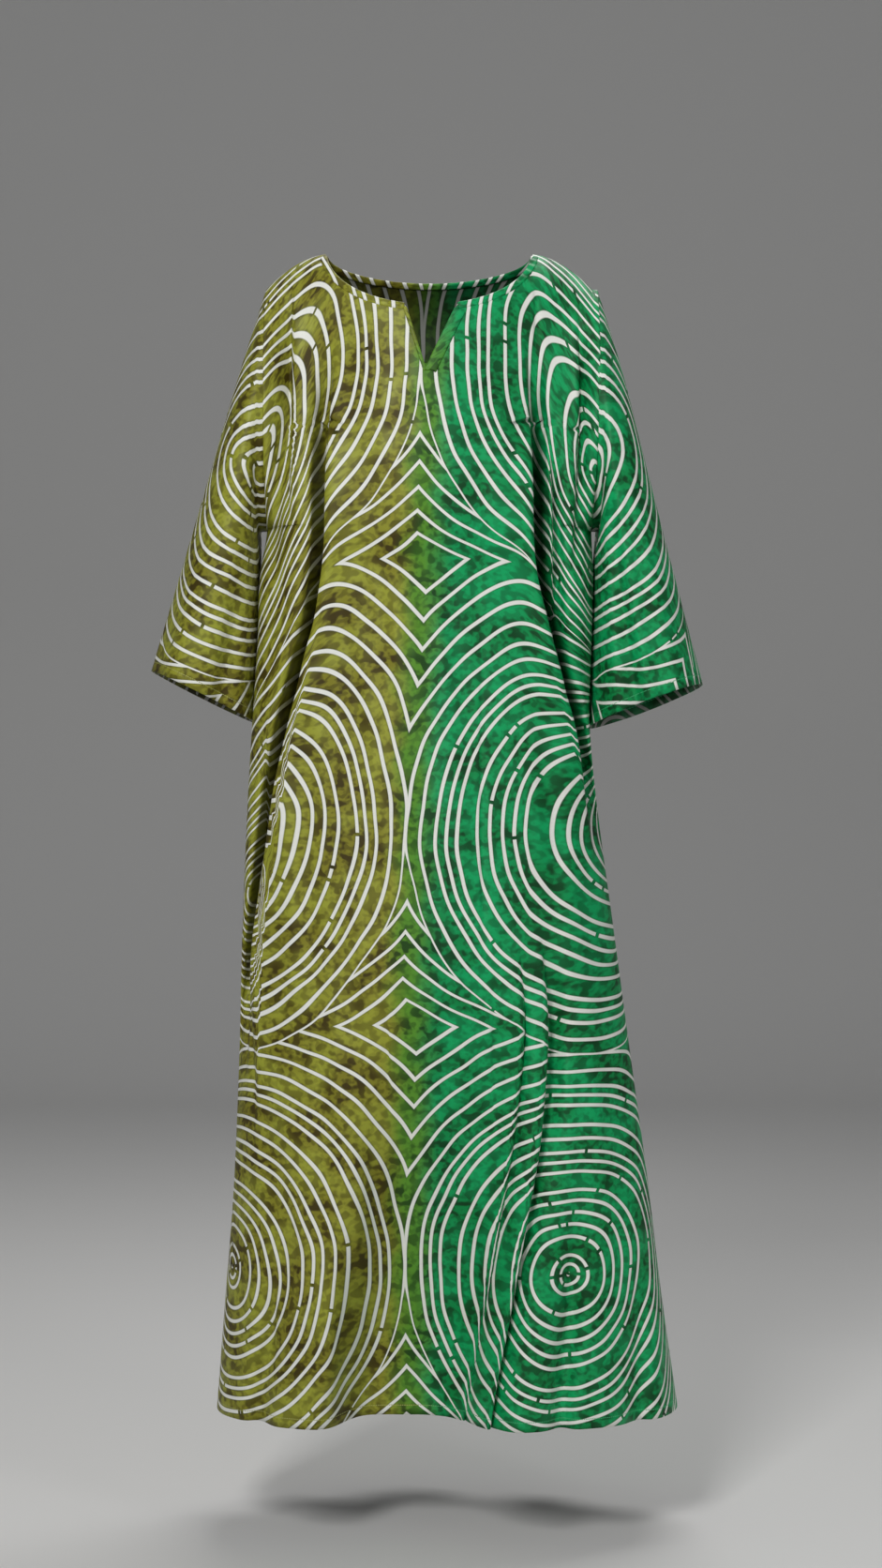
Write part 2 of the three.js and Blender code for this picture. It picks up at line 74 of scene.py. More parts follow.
body_sections = [
    dict(z=0, right=194, left=200, front=88, back=80, round=0.8),
    dict(z=-150, right=194, left=200, front=110, back=94, round=0.75),
    dict(z=-250, right=194, left=197, front=121, back=98, round=0.62),
    dict(z=-330, right=193, left=193, front=119, back=94, round=0.5),
    dict(z=-385, right=201, left=195, front=111, back=90, round=0.48),
    dict(z=-460, right=203, left=193, front=112, back=96, round=0.5),
    dict(z=-560, right=210, left=190.5, front=118, back=108, round=0.56),
    dict(z=-664, right=216, left=200, front=126, back=118, round=0.62),
    dict(z=-804, right=222, left=219, front=136, back=128, round=0.7),
    dict(z=-960, right=226, left=240, front=148, back=140, round=0.76),
    dict(z=-1105, right=232, left=260, front=158, back=150, round=0.8),
    dict(z=-1237, right=242, left=276, front=166, back=158, round=0.8),
    dict(z=HEM, right=252, left=295, front=172, back=166, round=0.8),
]

# A fold passes through x at five heights, runs between start and stop, comes up over the
# length ramp and is depth deep: minus is a trough. It is width wide on its outer side and
# inner wide towards the middle. sides 2 is round, 4 is flat-bottomed. tucked is how much
# cloth lies out of sight in it, so that the print breaks there, and hang is how far the
# cloth on its inner side hangs over it.
PAST_HEM = -3000
TUCK_WIDTH = 4
LIP_PLACE = 1.5                 # inner widths from a fold's middle to the edge that hangs over
LIP_FRONT = 5
LIP_BACK = 22
VALLEY_HANG = 8                 # folds that hang over further than this are valleys
LEVELS = dict(chest=-200, waist=-390, hip=-600, knee=-950, hem=HEM)


def fold(chest, waist, hip, knee, hem, start, stop, ramp, width, depth, sides=2, inner=None,
         tucked=0, hang=0):
    path = [dict(z=z, x=x) for z, x in zip(LEVELS.values(), (chest, waist, hip, knee, hem))]
    return dict(path=path, start=start, stop=stop, ramp=ramp, width=width, depth=depth,
                sides=sides, inner=inner or width, tucked=tucked, hang=hang)


front_folds = [
    # the two valleys at the waist, the first of each side guides the columns of points
    fold(-115, -119, -166, -214, -250, -110, -1000, 210, 17, -84, 4, inner=5, hang=13),
    fold(117, 119, 174, 236, 290, -100, -740, 210, 16, -84, 4, inner=5, hang=12),
    # drapes between the valleys and the armholes
    fold(-163, -184, -190, -200, -210, -60, -420, 90, 12, -9, inner=6),
    fold(-160, -160, -160, -160, -160, -28, -340, 60, 14, -7, inner=1.6, tucked=10, hang=2),
    fold(-172, -178, -190, -200, -210, -520, -1040, 120, 12, -11, inner=2.4, tucked=60, hang=3),
    fold(140, 143, 150, 160, 170, -200, -560, 110, 12, -26, inner=3, hang=5),
    fold(176, 166, 172, 180, 190, -70, -420, 90, 10, -14, inner=3, hang=3),
    # the skirt hangs back between the legs and stands forward over each
    fold(20, 20, 20, 20, -28, -800, PAST_HEM, 560, 80, -104, 4),
    fold(178, 178, 178, 184, 150, -1060, PAST_HEM, 220, 13, -18),
    fold(245, 245, 245, 246, 243, -1120, PAST_HEM, 200, 13, -14),
    fold(-140, -140, -140, -140, -196, -1080, PAST_HEM, 260, 15, -20),
    # the narrow knife fold left of the middle, which laps over towards the side
    fold(112, 112, 114, 132, 66, -790, PAST_HEM, 120, 22, -25, inner=2.2, tucked=7, hang=7),
    fold(86, 86, 88, 104, 38, -800, PAST_HEM, 120, 7, -11, inner=1.8, tucked=7, hang=3),
    # small creases that the solids leave out
    fold(62, 60, 60, 62, 66, -440, -900, 160, 5, -2.6, inner=1.4),
    fold(66, 68, 70, 74, 80, -820, -1060, 90, 8, -3.6, inner=1.6),
    fold(-54, -54, -52, -46, -40, -860, -1040, 80, 8, -3.2, inner=1.6),
    fold(-178, -176, -174, -176, -178, -1180, -1330, 60, 9, -4, inner=2),
    fold(124, 124, 124, 124, 124, -30, -150, 50, 6, -2.6, inner=1.6),
    fold(-150, -152, -154, -156, -158, -560, -900, 140, 14, 5),
    fold(150, 152, 156, 160, 168, -640, -1150, 200, 13, 5),
    fold(-60, -64, -72, -90, -120, -980, PAST_HEM, 240, 16, 5),
]


def table_curve(table, key, column, at):
    """A smooth curve through a table's rows, for an array of places."""
    rows = sorted(table, key=lambda row: row[key])
    xs = np.array([row[key] for row in rows], float)
    ys = np.array([row[column] for row in rows], float)
    slopes = np.gradient(ys, xs, edge_order=1)
    slopes[1:-1] = (ys[2:] - ys[:-2]) / (xs[2:] - xs[:-2])
    at = np.clip(np.asarray(at, float), xs[0], xs[-1])
    i = np.clip(np.searchsorted(xs, at) - 1, 0, len(xs) - 2)
    span = xs[i + 1] - xs[i]
    t = (at - xs[i]) / span
    return ((2 * t**3 - 3 * t**2 + 1) * ys[i] + (t**3 - 2 * t**2 + t) * span * slopes[i]
            + (3 * t**2 - 2 * t**3) * ys[i + 1] + (t**3 - t**2) * span * slopes[i + 1])


def smooth(value):
    """A soft step from 0 to 1."""
    value = np.clip(value, 0, 1)
    return value**2 * (3 - 2 * value)


def shoulder_line(x):
    """Height of the shoulder seam: level beside the neck, then falling to the sleeve."""
    share = (np.abs(x) - FALL_START) / (SHOULDER_POINT - FALL_START)
    return -SHOULDER_DROP * np.clip(share, 0, 1) ** 2


def fold_push(folds, x, z, what="depth"):
    """The push of all folds at a place, or the cloth "tucked" in them, or how far they "hang"."""
    total = np.zeros_like(x)
    for f in folds:
        rise = smooth((f["start"] - z) / f["ramp"]) * smooth((z - f["stop"]) / f["ramp"])
        middle = table_curve(f["path"], "z", "x", z)
        outward = (x - middle) * np.sign(middle)
        if what == "tucked":
            total += np.sign(middle) * f["tucked"] * rise * smooth(outward / TUCK_WIDTH + 0.5)
            continue
        if what == "hang":
            lip = outward + LIP_PLACE * f["inner"]
            lip /= np.where(lip > 0, LIP_FRONT, LIP_BACK)
            total += np.sign(middle) * f["hang"] * rise * np.exp(-lip**2)
            continue
        across = np.abs(outward) / np.where(outward > 0, f["width"], f["inner"])
        total += f["depth"] * rise * np.exp(-across ** f["sides"])
    return total


def body_surface(face, turn, z, down, folds):
    """Points of the front or the back. turn runs from the right edge, -1, to the left, 1."""
    turn, z, down = np.broadcast_arrays(np.asarray(turn, float), z, down)
    half = np.where(turn < 0, table_curve(body_sections, "z", "right", z),
                    table_curve(body_sections, "z", "left", z))
    angle = turn * math.pi / 2
    roundness = smooth((ROUND_TOP - z) / ROUND_HEIGHT)
    x = half * (turn * (1 - roundness) + np.sin(angle) * roundness)
    fall = np.clip((shoulder_line(x) - z) / SHOULDER_ROUND, 0, 1)
    middle = table_curve(body_sections, "z", face, z) * np.sqrt(1 - (1 - fall) ** 2)
    edge = ARMHOLE_DEPTH[face] * 2 * np.sqrt(np.clip(down * (1 - down), 0, 1))
    profile = np.clip(np.cos(angle), 0, 1) ** table_curve(body_sections, "z", "round", z)
    fade = smooth((1 - np.abs(turn)) / FOLD_FADE)
    y = edge * np.abs(turn) ** EDGE_SHARPNESS + middle * profile + fold_push(folds, x, z) * fade
    sign = -1 if face == "front" else 1
    return np.stack([x + fold_push(folds, x, z, "hang") * fade, sign * y, z], axis=-1)


def chain_lengths(points):
    """How far each point lies from the first, along the line through them."""
    steps = np.linalg.norm(np.diff(points, axis=0), axis=1)
    return np.concatenate([[0], np.cumsum(steps)])


def place_along(values, lengths, goals):
    """The values at the goals, which are lengths along the same line."""
    return np.stack([np.interp(goals, lengths, column) for column in values.T], axis=-1)


DENSE = 500                     # points that measure half a section before it is divided
GUIDE_LIMIT = 0.78              # how far out, of the half width, columns follow a valley


def body_row(face, folds, hidden, row, upper, lower, columns):
    """One row: its points, and for each how far it lies from the middle along the cloth."""
    halves = []
    for side in (-1, 1):
        turn = side * np.arange(DENSE + 1) / DENSE
        if row <= upper:
            down = (1 - math.cos(math.pi * row / upper)) / 2
            half = body_sections[0]["right" if side < 0 else "left"]
            top = shoulder_line(turn * half)
            z = top + (UNDERARM - top) * down
        else:
            down = 1.0
            z = np.full(DENSE + 1, UNDERARM + (HEM - UNDERARM) * (row - upper) / lower)
        points = body_surface(face, turn, z, down, folds)
        bulge = 4 * down * (1 - down)       # the armhole's curve, eased where it ends
        gentle = (1 - math.sqrt(1 - bulge**2)) / 2
        cloth = chain_lengths(body_surface(face, turn, z, gentle, hidden))
        lengths = chain_lengths(points)
        guide_fold = next(f for f in folds if f["path"][0]["x"] * side > 0)
        guide = min(abs(float(table_curve(guide_fold["path"], "z", "x", z[0]))),
                    GUIDE_LIMIT * abs(points[-1, 0]))
        split = lengths[np.argmax(np.abs(points[:, 0]) >= guide)]
        goals = np.concatenate([np.linspace(0, split, columns[0] + 1),
                                np.linspace(split, lengths[-1], columns[1] + 1)[1:]])
        data = np.column_stack([points, side * cloth, turn])
        halves.append(place_along(data, lengths, goals))
    return np.concatenate([halves[0][::-1], halves[1][1:]])


def print_drift(z):
    """The print's middle line wanders a little to the wearer's right on its way down."""
    at_neck, wander, start, length = -2, 20, -60, 800
    return at_neck - wander * smooth((start - z) / length)


def droop(x, z, valleys):
    """How far the cloth's cross threads hang down beside the shoulder, down to the waist.

    Outside a valley the cloth hangs from the shoulder alone, so there it lasts longer."""
    bottom, ease, valley_ease, slope, spread, start, bend = -620, 230, 380, 1.3, 1.2, 140, 24
    amount = smooth((z - bottom) / ease)
    for f in valleys:
        middle = table_curve(f["path"], "z", "x", z)
        outside = smooth(((x - middle) * np.sign(middle) + 3) / 5)
        longer = smooth((z - f["stop"] - 40) / valley_ease)
        amount = amount + np.maximum(longer - amount, 0) * outside
    past = spread * np.abs(x) - start
    return slope / 2 * (past + np.sqrt(past**2 + bend**2) - 2) * amount


def body_sheet(face, folds, hidden, upper, lower, columns):
    """Grid of a panel: points, cloth coordinates (across, down) and turn."""
    rows = [body_row(face, folds, hidden, row, upper, lower, columns)
            for row in range(upper + lower + 1)]
    grid = np.stack(rows)
    points = grid[..., :3]
    across = grid[..., 3] + fold_push(folds, points[..., 0], points[..., 2], "tucked")
    across -= print_drift(points[..., 2])
    if face == "front":         # cloth taken up at the left hip
        z, top, top_ease, end, end_ease = points[..., 2], -400, 180, -1020, 200
        inner, taken = 140, 0.36
        height = smooth((top - z) / top_ease) * smooth((z - end) / end_ease)
        across -= taken * np.maximum(across - inner, 0) * height

    # Above the chest the cloth is measured down the panel, as it leans over to the shoulder.
    down = -points[..., 2].copy()
    level = int(np.argmax(points[:, points.shape[1] // 2, 2] < LEVELS["chest"]))
    share = (1 - np.cos(np.pi * np.minimum(np.arange(len(rows)) / upper, 1)))[:, None] / 2
    plain = body_surface(face, grid[..., 4], points[..., 2], share, [])
    for row in range(level - 1, -1, -1):
        step = np.linalg.norm(plain[row] - plain[row + 1], axis=-1)
        down[row] = down[row + 1] - np.minimum(step, 1.5 * np.median(step))
    valleys = [f for f in folds if f["hang"] > VALLEY_HANG]
    down -= droop(points[..., 0], points[..., 2], valleys)
    return points, np.stack([across, down], axis=-1), grid[..., 4]


NECK = dict(half_width=123, front=77, back=26)
SLIT = dict(right=-28, left=33, tip_x=-4, tip_z=-152)


def slit_edge(side, z):
    """x of the slit's edge at a height, from the top corner to the tip."""
    top_x = SLIT["right"] if side < 0 else SLIT["left"]
    top_z = -NECK["front"] * math.sqrt(1 - (top_x / NECK["half_width"]) ** 2)
    return np.interp(z, [SLIT["tip_z"], top_z], [SLIT["tip_x"], top_x])


def neck_outline(face):
    """The neck's edge as (x, drop below the shoulder seam), closely spaced."""
    angle = np.linspace(-math.pi / 2, math.pi / 2, 721)
    x, drop = NECK["half_width"] * np.sin(angle), NECK[face] * np.cos(angle)
    if face == "back":
        return np.column_stack([x, drop])
    keep = (x < SLIT["right"]) | (x > SLIT["left"])
    z = np.linspace(SLIT["tip_z"], -NECK["front"], 120)
    left = np.column_stack([slit_edge(1, z), -z])
    right = np.column_stack([slit_edge(-1, z), -z])
    return np.concatenate([np.column_stack([x, drop])[keep], left, right])


def in_neck(face, x, drop):
    """Whether a place lies in the neck opening or in the slit."""
    inside = (x / NECK["half_width"]) ** 2 + (drop / NECK[face]) ** 2 < 1
    if face == "front":
        inside |= (-drop > SLIT["tip_z"]) & (x > slit_edge(-1, -drop)) & (x < slit_edge(1, -drop))
    return inside


def cut_neck(face, folds, points, kept_rows):
    """Which cells of the grid lie in the neck; its border points are moved onto the edge."""
    x = points[..., 0]
    drop = shoulder_line(x) - points[..., 2]
    inside = in_neck(face, x, drop)
    inside[kept_rows:] = False
    corners = (inside[:-1, :-1].astype(int) + inside[1:, :-1] + inside[:-1, 1:] + inside[1:, 1:])
    removed = corners >= 3
    touched = np.zeros_like(inside)
    kept = np.zeros_like(inside)
    for dj in (0, 1):
        for di in (0, 1):
            shape = (slice(dj, dj + removed.shape[0]), slice(di, di + removed.shape[1]))
            touched[shape] |= removed
            kept[shape] |= ~removed
    border = touched & kept
    outline = neck_outline(face)
    for j, i in zip(*np.nonzero(border)):
        place = np.array([x[j, i], drop[j, i]])
        nearest = outline[np.argmin(((outline - place) ** 2).sum(axis=1))]
        points[j, i] = neck_surface(face, folds, nearest[0], nearest[1])
    return removed


def neck_surface(face, folds, x, drop):
    """A point of the panel by x and by the drop below the shoulder seam."""
    x, drop = np.broadcast_arrays(np.asarray(x, float), drop)
    top = shoulder_line(x)
    half = np.where(x < 0, body_sections[0]["right"], body_sections[0]["left"])
    return body_surface(face, x / half, top - drop, np.clip(drop / (top - UNDERARM), 0, 1), folds)


def crease_field(points, seed):
    """Slight uneven waves of hanging cloth, long down the gown and short across it."""
    rng = np.random.default_rng(seed)
    x, z = points[..., 0], points[..., 2]
    field = np.zeros(x.shape)
    for _ in range(26):
        across, along = rng.uniform(28, 85), rng.uniform(240, 700)
        phase, place = rng.uniform(0, 2 * math.pi), rng.uniform(HEM, 0)
        reach = rng.uniform(140, 420)
        lean = rng.uniform(-0.12, 0.12)
        wave = np.sin(2 * math.pi * ((x + lean * z) / across + z / along) + phase)
        field += wave * np.exp(-((z - place) / reach) ** 2) * across / 60
    return field * 0.55


def grid_normals(points):
    """The outward direction at each point of a grid."""
    normal = np.cross(np.gradient(points, axis=1), np.gradient(points, axis=0))
    length = np.linalg.norm(normal, axis=-1, keepdims=True)
    return normal / np.maximum(length, 1e-9)


def cloth_object(name, points, cloth, material, closed=False, removed=None, flip=False,
                 hem=None):
    """A thin shell from a grid of points. It keeps its place on the flat cloth, and its
    distance from the hem, as an attribute for the print."""
    rows, columns = points.shape[:2]
    number = np.arange(rows * columns).reshape(rows, columns)
    right = np.roll(number, -1, axis=1) if closed else number[:, 1:]
    here = number if closed else number[:, :-1]
    quads = np.stack([here[:-1], here[1:], right[1:], right[:-1]], axis=-1)
    if removed is not None:
        quads = quads[~removed]
    quads = quads.reshape(-1, 4)
    if flip:
        quads = quads[:, ::-1]
    used = np.unique(quads)
    renumber = np.full(rows * columns, -1)
    renumber[used] = np.arange(len(used))
    mesh = bpy.data.meshes.new(name)
    vertices = points.reshape(-1, 3)[used] * MM
    mesh.from_pydata(vertices.tolist(), [], renumber[quads].tolist())
    coordinates = mesh.attributes.new("cloth", "FLOAT_VECTOR", "POINT")
    values = np.zeros((len(used), 3))
    values[:, :2] = cloth.reshape(-1, 2)[used] * MM
    values[:, 2] = 1 if hem is None else hem.reshape(-1)[used] * MM
    coordinates.data.foreach_set("vector", values.ravel())
    mesh.polygons.foreach_set("use_smooth", [True] * len(mesh.polygons))
    mesh.materials.append(material)
    # the inner faces get the darkened cloth: duller, plus painted shade for the gown's shadowed
    # inside
    mesh.materials.append(shaded_cloth_reverse)
    piece = bpy.data.objects.new(name, mesh)
    bpy.context.scene.collection.objects.link(piece)
    shell = piece.modifiers.new("thickness", "SOLIDIFY")
    shell.thickness = CLOTH_THICKNESS * MM
    shell.offset = 0
    shell.material_offset = 1
    return piece


class Socket:
    """A node socket that arithmetic can be written with; each operation adds a Math node."""

    def __init__(self, tree, link):
        self.tree, self.link = tree, link

    def math(self, operation, *others):
        node = self.tree.nodes.new("ShaderNodeMath")
        node.operation = operation
        for place, value in enumerate((self, *others)):
            if isinstance(value, Socket):
                self.tree.links.new(value.link, node.inputs[place])
            else:
                node.inputs[place].default_value = value
        return Socket(self.tree, node.outputs[0])

    def __add__(self, other):
        return self.math("ADD", other)

    __radd__ = __add__

    def __sub__(self, other):
        return self.math("SUBTRACT", other)

    def __rsub__(self, other):
        return self.math("MULTIPLY_ADD", -1.0, other)

    def __mul__(self, other):
        return self.math("MULTIPLY", other)

    __rmul__ = __mul__

    def __truediv__(self, other):
        return self.math("DIVIDE", other)

    def __neg__(self):
        return self * -1.0

    def __abs__(self):
        return self.math("ABSOLUTE")

    def __gt__(self, other):
        return self.math("GREATER_THAN", other)

    def __lt__(self, other):
        return self.math("LESS_THAN", other)

    def __pow__(self, power):
        return self.math("POWER", power)

    def least(self, other):
        return self.math("MINIMUM", other)

    def most(self, other):
        return self.math("MAXIMUM", other)

    def floor(self):
        return self.math("FLOOR")

    def part(self):
        return self.math("FRACT")

    def sine(self):
        return self.math("SINE")

    def angle_to(self, other):
        return self.math("ARCTAN2", other)

    def where(self, yes, no):
        """yes where this is 1, no where it is 0."""
        return no + (yes - no) * self

    def ramp(self, low, high):
        """A soft step from 0 at low to 1 at high."""
        node = self.tree.nodes.new("ShaderNodeMapRange")
        node.interpolation_type = "SMOOTHSTEP"
        self.tree.links.new(self.link, node.inputs["Value"])
        node.inputs["From Min"].default_value = low
        node.inputs["From Max"].default_value = high
        return Socket(self.tree, node.outputs["Result"])


class Recipe:
    """One material's node tree."""

    def __init__(self, name):
        self.material = bpy.data.materials.new(name)
        self.material.use_nodes = True
        self.tree = self.material.node_tree
        self.tree.nodes.clear()

    def node(self, kind, settings=None, output=0, **inputs):
        node = self.tree.nodes.new(kind)
        for key, value in (settings or {}).items():
            setattr(node, key, value)
        for key, value in inputs.items():
            socket = node.inputs[key.replace("_", " ")]
            if isinstance(value, Socket):
                self.tree.links.new(value.link, socket)
            else:
                socket.default_value = value
        return Socket(self.tree, node.outputs[output]) if node.outputs else node

    def vector(self, x, y, z=0.0):
        return self.node("ShaderNodeCombineXYZ", X=x, Y=y, Z=z)

    def parts(self, vector, count=2):
        x = self.node("ShaderNodeSeparateXYZ", Vector=vector)
        return [Socket(self.tree, x.link.node.outputs[k]) for k in range(count)]

    def mix(self, amount, one, two):
        node = self.tree.nodes.new("ShaderNodeMix")
        node.data_type = "RGBA"
        for name, value in (("Factor", amount), ("A", one), ("B", two)):
            socket = next(s for s in node.inputs if s.name == name and s.enabled)
            if isinstance(value, Socket):
                self.tree.links.new(value.link, socket)
            else:
                socket.default_value = value
        return Socket(self.tree, next(s for s in node.outputs if s.enabled))

    def noise(self, place, scale, detail=2.0, roughness=0.5):
        return self.node("ShaderNodeTexNoise", Vector=place, Scale=scale, Detail=detail,
                         Roughness=roughness)


def colour(red, green, blue):
    """A colour given as it looks on a screen, 0 to 255, as linear light."""
    def linear(value):
        value /= 255
        return value / 12.92 if value <= 0.04045 else ((value + 0.055) / 1.055) ** 2.4
    return (linear(red), linear(green), linear(blue), 1.0)


# The print is a pair of ring systems side by side, repeated down the cloth, in metres. down
# is the height of their centres, above and below say how much flatter than round the rings
# are, power how square their upper halves are, and the outermost ring is as wide as its
# distance from the middle line.
RING_COLUMN = 0.247
RING_SPACING = 0.0156
STAR_SPACING = 0.0214           # between the lines that close the gap between four systems
STAR_LINES = 5
STAR_FLATNESS = 1.3
LINE_WIDTH = 0.0041
MIDDLE_LINE = -0.006
HAND_WOBBLE = 0.012
STAR_SHIFT = 0.013              # how far the middle line steps aside below a star
BREAK_HALF = 0.0020
LONG_SPELL = 0.071              # the distances between rings swell and close over these two
SHORT_SPELL = 0.040
STITCH_LINE = 0.011             # from the edge of a hem to its stitching
STITCH_LENGTH = 0.0026
WEAVE = 0.0009
ring_rows = [
    dict(down=-0.39, above=0.9, power=3.0, below=0.97, star=-0.13),
    dict(down=0.145, above=0.9, power=3.0, below=0.97, star=0.358),
    dict(down=0.685, above=0.95, power=2.1, below=0.95, star=0.892),
    dict(down=1.196, above=1.06, power=2.2, below=1.0, star=1.385),
]


def printed_cloth(name, rings_seen=1.0, reverse_dulling_and_shade=0.0):
    """Satin-finish cloth, resist-dyed: mottled grounds and white rings with small breaks.

    rings_seen 0 leaves the rings out, and the last argument is how dull and dark the cloth's
    other side is: partly duller cloth, partly painted shade standing in for the shadowed inside
    of the gown."""
    r = Recipe(name)
    attribute = r.node("ShaderNodeAttribute", {"attribute_name": "cloth"}, output=1)
    flat_u, flat_v, from_hem = r.parts(attribute, 3)
    place = r.vector(flat_u, flat_v)

    # the hand-drawn wobble of the lines, and of the middle line below each star
    wobble_u, wobble_v = r.parts(
        r.node("ShaderNodeTexNoise", output=1, Vector=place, Scale=11.0, Detail=1.0))
    u = flat_u - MIDDLE_LINE + (wobble_u - 0.5) * HAND_WOBBLE
    for row in ring_rows[1:]:
        u = u - (flat_v - row["star"]).ramp(-0.03, 0.03) * STAR_SHIFT
        u = u + (flat_v - row["star"]).ramp(0.06, 0.24) * STAR_SHIFT
    v = flat_v + (wobble_v - 0.5) * HAND_WOBBLE

    side = (u > 0.0) * 2.0 - 1.0
    pair = 2 * RING_COLUMN
    across = abs((abs(u) / pair).part() - 0.5) * pair
    distance, in_ring, row_number, rise_near = None, None, None, None
    for number, row in enumerate(ring_rows):
        rise = v - row["down"]
        lower = rise > 0.0
        power = row["power"]
        above = (across ** power + (abs(rise) * row["above"]) ** power) ** (1 / power)
        below = (across * across + (rise * row["below"]) ** 2.0) ** 0.5
        star = (across * across + (rise * STAR_FLATNESS) ** 2.0) ** 0.5
        inside = lower * (below < RING_COLUMN)
        here = lower.where(star, above)
        if distance is None:
            distance, in_ring, row_number, rise_near = here, inside, 0.0, rise
            ring = below
        else:
            closer = here < distance
            distance = distance.least(here)
            free = 1.0 - in_ring
            row_number = (closer * free).where(float(number), row_number)
            rise_near = (closer * free).where(rise, rise_near)
            ring = inside.where(below, ring)
            in_ring = in_ring.most(inside)
    distance = in_ring.where(ring, distance)

    # Lines at uneven distances inward from the outermost ring, and even ones out to the star.
    # close is how much nearer than usual they lie, which keeps each line as wide as the rest.
    inward = RING_COLUMN - distance
    phase = row_number * 1.7 - 1.1
    rings, close = inward / RING_SPACING, 0.0
    for spell, share, start in ((LONG_SPELL, 0.20, phase), (SHORT_SPELL, 0.10, phase * 2.0)):
        pace = 2 * math.pi / spell
        rings = rings + ((inward * pace + start).sine() - start.sine()) * share
        close = close + (inward * pace + start + math.pi / 2).sine() * (share * pace)
    stars = -inward / STAR_SPACING
    outside = inward < 0.0
    count = outside.where(stars, rings) + 0.5
    index = count.floor() + outside * 40.0
    off_line = abs(count.part() - 0.5) / outside.where(1 / STAR_SPACING, close + 1 / RING_SPACING)
    off_line = (stars > STAR_LINES + 0.45).where(1.0, off_line)

    # each line has small breaks at places of its own
    turn = rise_near.angle_to((abs(u) - RING_COLUMN) * side) / (2 * math.pi)
    gap = None
    for chance in (0.0, 80.0, 160.0):
        seed = r.vector(index + chance, row_number + 0.5, side)
        start = r.node("ShaderNodeTexWhiteNoise", {"noise_dimensions": "3D"}, Vector=seed)
        away = abs((turn - start + 1.5).part() - 0.5) * distance * (2 * math.pi)
        here = away < BREAK_HALF
        gap = here if gap is None else gap.most(here)
    gap = gap * (1.0 - outside)
    line = 1.0 - off_line.ramp(LINE_WIDTH / 2 - 0.0005, LINE_WIDTH / 2 + 0.0004)
    line = line * (1.0 - gap) * rings_seen
    halo = 1.0 - off_line.ramp(LINE_WIDTH / 2, LINE_WIDTH / 2 + 0.0022)

    # mottled grounds: olive on the wearer's right, emerald on the left, blended in the middle
    stretched = r.vector(flat_u, flat_v * 1.12)
    blotch = r.noise(stretched, 78.0, 1.0, 0.5).ramp(0.45, 0.60)
    cloud = r.noise(stretched, 17.0, 2.0).ramp(0.34, 0.66)
    fleck = r.noise(stretched, 150.0, 0.5).ramp(0.47, 0.62)
    dark = (blotch * (0.5 + 0.5 * cloud)).most(fleck * (0.2 + 0.35 * cloud))
    middle = flat_u + (r.noise(place, 26.0, 1.0) - 0.5) * 0.03
    olive = r.mix(dark, r.mix(cloud, colour(160, 164, 56), colour(132, 128, 34)),
                  colour(66, 55, 6))
    green = r.mix(dark, r.mix(cloud, colour(8, 172, 100), colour(0, 138, 70)),
                  colour(0, 66, 28))
    between = r.mix(dark, colour(92, 150, 44), colour(34, 74, 18))
    to_green = middle.ramp(0.0, 0.036)
    ground = r.mix(to_green, r.mix(middle.ramp(-0.034, 0.0), olive, between), green)
    ground = r.mix(halo * 0.35 * rings_seen, ground, colour(20, 46, 20))
    dyed = r.mix(line, ground, colour(240, 241, 233))
    # the cloth's other side, darkened: partly duller cloth, partly painted shade standing in for
    # the gown's shadowed inside
    dyed = r.mix(reverse_dulling_and_shade, dyed, colour(16, 24, 8))

    # a line of stitching along the hems, which draws the cloth in
    from_stitches = abs(from_hem - STITCH_LINE)
    stitch = (from_stitches < 0.0005) * (((flat_u + flat_v * 0.3) / STITCH_LENGTH).part() < 0.72)
    groove = 1.0 - from_stitches.ramp(0.0004, 0.0016)
    thread = r.mix(to_green, colour(170, 172, 96), colour(70, 176, 118))
    dyed = r.mix(stitch * 0.8, dyed, thread)

    # fine cross weave and slight wrinkles
    threads = 2 * math.pi / WEAVE
    weave = (flat_u * threads).sine() * (flat_v * threads).sine()
    wrinkle = r.noise(r.vector(flat_u * 3.2, flat_v), 16.0, 3.0, 0.55)
    height = wrinkle * 0.0022 + weave * 0.00003 - groove * 0.0004
    bump = r.node("ShaderNodeBump", Strength=0.55, Distance=1.0, Height=height)
    shader = r.node("ShaderNodeBsdfPrincipled", Base_Color=dyed,
                    Roughness=0.46 + 0.12 * cloud, Normal=bump)
    shader.link.node.inputs["Specular IOR Level"].default_value = 0.25
    r.node("ShaderNodeOutputMaterial", Surface=shader)
    return r.material


print_cloth = printed_cloth("resist_dyed_cloth")
# The inner faces: the same print, duller, and darkened with painted shade for the gown's shadowed
# inside
shaded_cloth_reverse = printed_cloth("resist_dyed_cloth_reverse_painted_shade", reverse_dulling_and_shade=0.72)

# The print is laid on the cloth as if the deep valleys were not there, so it breaks at them.
shallow_folds = [f for f in front_folds if abs(f["depth"]) < 40]
FRONT_ROWS = (52, 146)          # above and below the underarm
FRONT_COLUMNS = (70, 50)        # on each side, from the middle to the valley and on to the edge
front_points, front_cloth, front_turn = body_sheet(
    "front", front_folds, shallow_folds, *FRONT_ROWS, FRONT_COLUMNS)


def soften(points, turn, seed):
    """Adds the slight waves of hanging cloth, none at the seams, the neck and the shoulders."""
    fade = smooth((1 - np.abs(turn)) / 0.2) * smooth((-points[..., 2] - 90) / 160)
    waves = crease_field(points, seed) * fade
    return points + grid_normals(points) * waves[..., None]


front_points = soften(front_points, front_turn, 11)
front_removed = cut_neck("front", front_folds, front_points, FRONT_ROWS[0])
front_piece = cloth_object("front_cloth", front_points, front_cloth, print_cloth,
                           removed=front_removed, hem=front_points[..., 2] - HEM)
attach(front_piece, "root")
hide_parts("front_panel")

